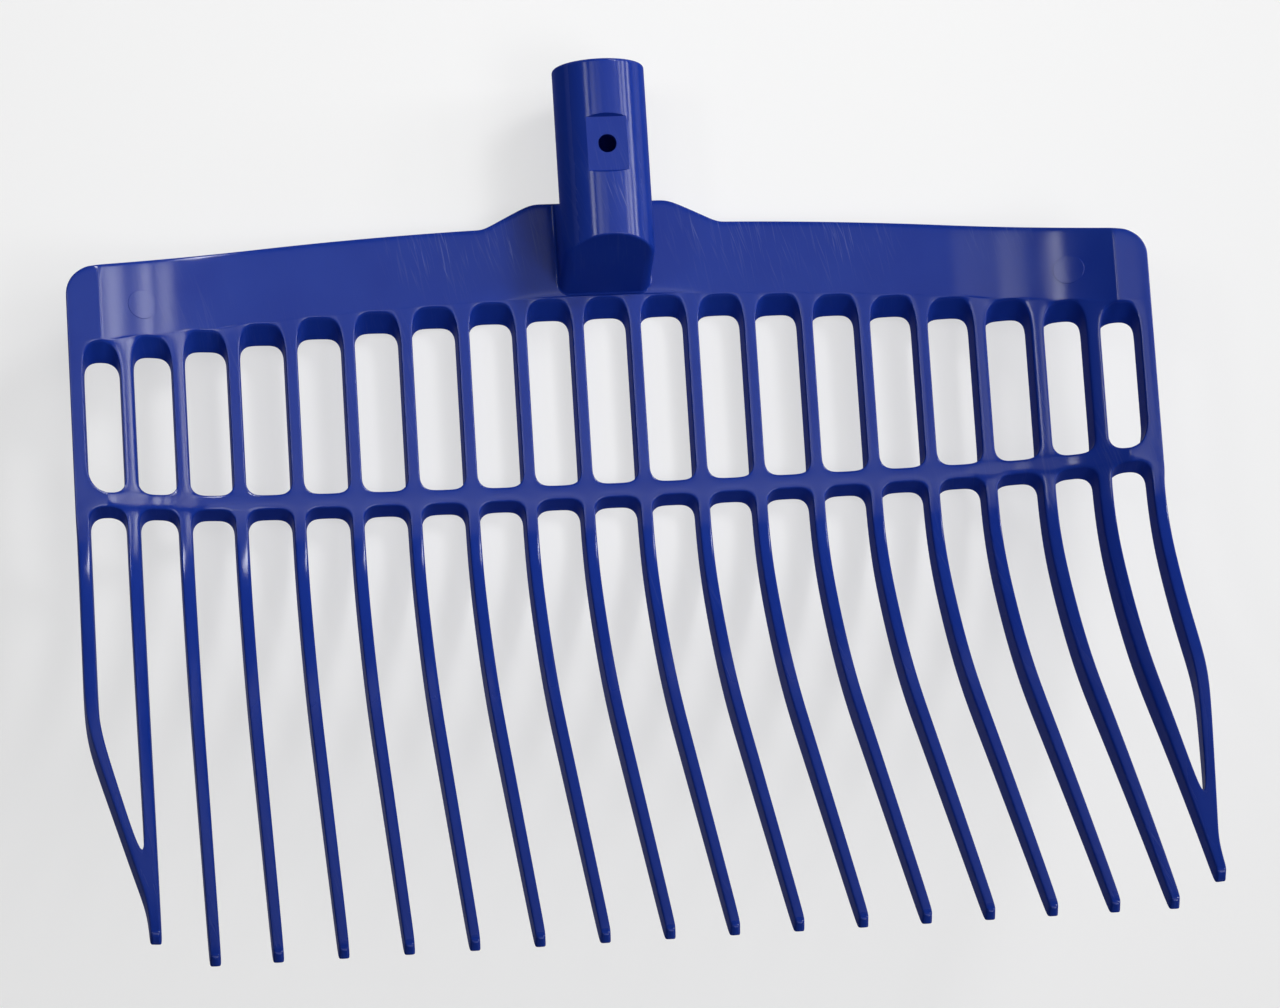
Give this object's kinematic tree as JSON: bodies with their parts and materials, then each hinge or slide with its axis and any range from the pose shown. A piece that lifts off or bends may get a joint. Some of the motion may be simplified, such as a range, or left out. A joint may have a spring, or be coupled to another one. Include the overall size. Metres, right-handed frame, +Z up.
{
  "type": "manure fork head",
  "caption": "Plastic basket-style manure fork head: curved tines below a slotted wall, turned-up sides, and a handle socket with a screw hole.",
  "frame": {"origin": "middle of the bounding box across and along the handle, at the lowest point of the wall's back", "axes": "lying on its back: +X across the head to the right seen from the hollow side, +Y along the handle socket out of its mouth, +Z up out of the hollow side"},
  "size_m": [0.4066, 0.3326, 0.1631],
  "materials": {
    "blue_plastic": "glossy injection-moulded plastic with fine scuffs"
  },
  "bodies": {
    "root": {"socket": "blue_plastic", "back_plate": "blue_plastic", "crossbar": "blue_plastic", "side_bar_left": "blue_plastic", "side_bar_right": "blue_plastic", "side_rail_left": "blue_plastic", "side_rail_right": "blue_plastic", "bar_01": "blue_plastic", "bar_02": "blue_plastic", "bar_03": "blue_plastic", "bar_04": "blue_plastic", "bar_05": "blue_plastic", "bar_06": "blue_plastic", "bar_07": "blue_plastic", "bar_08": "blue_plastic", "bar_09": "blue_plastic", "bar_10": "blue_plastic", "bar_11": "blue_plastic", "bar_12": "blue_plastic", "bar_13": "blue_plastic", "bar_14": "blue_plastic", "bar_15": "blue_plastic", "bar_16": "blue_plastic", "bar_17": "blue_plastic", "bar_18": "blue_plastic", "tine_01": "blue_plastic", "tine_02": "blue_plastic", "tine_03": "blue_plastic", "tine_04": "blue_plastic", "tine_05": "blue_plastic", "tine_06": "blue_plastic", "tine_07": "blue_plastic", "tine_08": "blue_plastic", "tine_09": "blue_plastic", "tine_10": "blue_plastic", "tine_11": "blue_plastic", "tine_12": "blue_plastic", "tine_13": "blue_plastic", "tine_14": "blue_plastic", "tine_15": "blue_plastic", "tine_16": "blue_plastic", "tine_17": "blue_plastic", "tine_18": "blue_plastic"}
  },
  "joints": []
}
